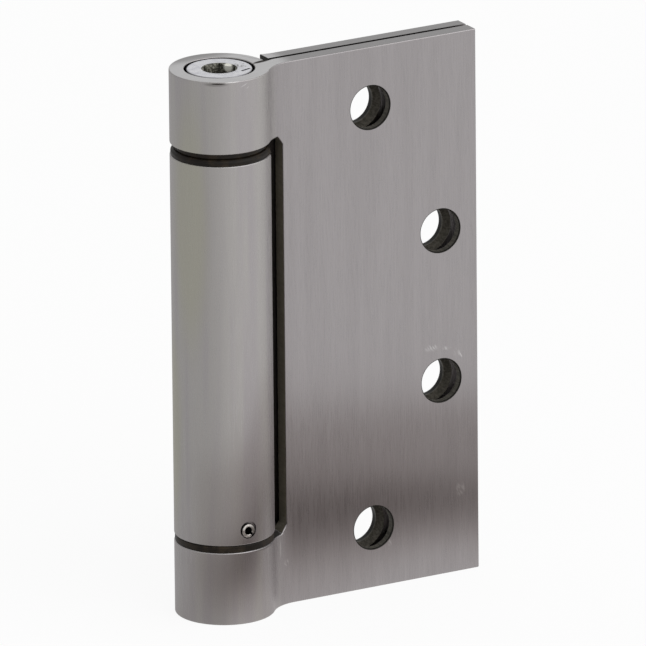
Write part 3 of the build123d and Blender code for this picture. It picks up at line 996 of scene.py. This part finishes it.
def add_camera():
    """The photograph's camera: far away, so that the leaf's edges stay almost parallel."""
    azimuth, elevation = CAMERA_AZIMUTH, CAMERA_ELEVATION
    back = Vector(
        (
            -math.sin(azimuth) * math.cos(elevation),
            -math.cos(azimuth) * math.cos(elevation),
            math.sin(elevation),
        )
    )
    right = Vector((math.cos(azimuth), -math.sin(azimuth), 0))
    up = back.cross(right)
    turned_right = right * math.cos(CAMERA_ROLL) + up * math.sin(CAMERA_ROLL)
    turned_up = up * math.cos(CAMERA_ROLL) - right * math.sin(CAMERA_ROLL)
    aim = AIM_POINT + right * AIM_RIGHT + up * AIM_UP
    lens = bpy.data.cameras.new("photo_camera")
    lens.sensor_width = SENSOR_WIDTH
    lens.lens = FOCAL_PIXELS * SENSOR_WIDTH / PHOTO_PIXELS
    lens.clip_start = 0.1
    lens.clip_end = 20.0
    camera = bpy.data.objects.new("photo_camera", lens)
    bpy.context.scene.collection.objects.link(camera)
    turn = Matrix((turned_right, turned_up, back)).transposed()
    camera.matrix_world = Matrix.Translation(aim + back * CAMERA_DISTANCE) @ turn.to_4x4()
    bpy.context.scene.camera = camera


def add_lamp(name, place, size, power):
    """A soft rectangular lamp that faces the hinge."""
    data = bpy.data.lights.new(name, "AREA")
    data.shape = "RECTANGLE"
    data.size, data.size_y = size
    data.energy = power
    lamp = bpy.data.objects.new(name, data)
    bpy.context.scene.collection.objects.link(lamp)
    lamp.location = place
    lamp.rotation_euler = (Vector(place) - AIM_POINT).to_track_quat("Z", "Y").to_euler()


def add_floor():
    """A pale floor that shows white and keeps the hinge's soft shadow. In the metal it shows
    dimmer on the left, with a dark, warm ring round the hinge's foot in front, as in a light tent
    that is open there."""
    bpy.ops.mesh.primitive_plane_add(size=6.0, location=(0, 0, 0))
    floor = bpy.context.object
    floor.name = "floor"
    made, tree = new_material("white_floor")
    place = node(tree, "TexCoord", out="Object")
    x, y, _ = node(tree, "SeparateXYZ", Vector=place).node.outputs
    paper = node(tree, "BsdfDiffuse", Color="#F4F4F4")
    white = node(tree, "Emission", Strength=1.0)
    seen = node(tree, "MixShader", _0=0.9, _1=paper, _2=white)

    # How dark the ring is, from its distance to the hinge's foot, a line 10 to 45 mm from the pin
    foot = node(tree, "Clamp", Value=x, Min=0.01, Max=0.045)
    foot = node(tree, "CombineXYZ", X=foot, Y=0.005)
    reach = distance(tree, place, foot)
    near = node(tree, "MapRange", SOFT, _0=reach, _1=0.016, _2=0.056, _3=0.74, _4=0.22)
    far = node(tree, "MapRange", SOFT, _0=reach, _1=0.060, _2=0.082, _3=0.22, _4=0.51)
    past = node(tree, "MapRange", SOFT, _0=reach, _1=0.112, _2=0.132, _3=1.0, _4=1.85)
    ring = node(tree, "Math", MOST, _0=near, _1=far)
    ring = node(tree, "Math", TIMES, _0=ring, _1=past)

    # The ring fades to the right, to the left, past the leaf's end and behind
    right_fade = node(tree, "MapRange", SOFT, _0=x, _1=0.06, _2=0.10, _3=1, _4=0.85)
    left_fade = node(tree, "MapRange", SOFT, _0=x, _1=-0.035, _2=0.005, _3=0.5, _4=1)
    front = node(tree, "MapRange", SOFT, _0=y, _1=-0.02, _2=0.02, _3=1, _4=0)
    past_leaf = node(tree, "VectorMath", TOWARDS, "Value", _0=place, _1=(1, 1.2, 0))
    leaf_fade = node(tree, "MapRange", SOFT, _0=past_leaf, _1=0.012, _2=0.030, _3=1, _4=0.68)
    fade = node(tree, "Math", TIMES, _0=right_fade, _1=left_fade)
    fade = node(tree, "Math", TIMES, _0=fade, _1=leaf_fade)
    fade = node(tree, "Math", TIMES, _0=fade, _1=front)
    gone = node(tree, "Math", MINUS, _0=1.0, _1=ring)
    gone = node(tree, "Math", TIMES, _0=gone, _1=fade)

    # The floor is brighter towards the room's bright side, and the ring is a little warm
    way = node(tree, "VectorMath", {"operation": "NORMALIZE"}, _0=place)
    side = node(tree, "VectorMath", TOWARDS, "Value", _0=way, _1=BRIGHT_SIDE)
    level = node(tree, "MapRange", SOFT, _0=side, _1=-0.2, _2=0.45, _3=0.69, _4=1.0)
    left = node(tree, "Math", MINUS, _0=1.0, _1=gone)
    level = node(tree, "Math", TIMES, _0=level, _1=left)
    warmth = node(tree, "Mix", MIXED, 2, _0=gone, _6="#FFFFFF", _7="#FFEDE6")
    mirrored = node(tree, "Emission", Color=warmth, Strength=level)
    in_view = node(tree, "LightPath", out="Is Camera Ray")
    in_metal = node(tree, "LightPath", out="Is Glossy Ray")
    shown = node(tree, "MixShader", _0=in_view, _1=paper, _2=seen)
    shown = node(tree, "MixShader", _0=in_metal, _1=shown, _2=mirrored)
    node(tree, "OutputMaterial", Surface=shown)
    floor.data.materials.append(made)


def add_world():
    """White where the camera looks past the floor, and a soft pale room round the metal, a
    little darker on the left."""
    world = bpy.data.worlds.new("studio")
    bpy.context.scene.world = world
    world.use_nodes = True
    tree = world.node_tree
    tree.nodes.clear()
    way = node(tree, "TexCoord", out="Generated")
    side = node(tree, "VectorMath", TOWARDS, "Value", _0=way, _1=BRIGHT_SIDE)
    level = node(tree, "MapRange", SOFT, _0=side, _1=-1.0, _2=0.3, _3=0.68, _4=0.98)
    room = node(tree, "Background", Strength=level)
    white = node(tree, "Background", Strength=1.0)
    in_view = node(tree, "LightPath", out="Is Camera Ray")
    shown = node(tree, "MixShader", _0=in_view, _1=room, _2=white)
    node(tree, "OutputWorld", Surface=shown)


add_camera()
add_floor()
add_world()
add_lamp("key", place=(0.8, -1.6, 1.2), size=(2.8, 2.8), power=24)

bpy.context.scene.view_settings.view_transform = "Standard"
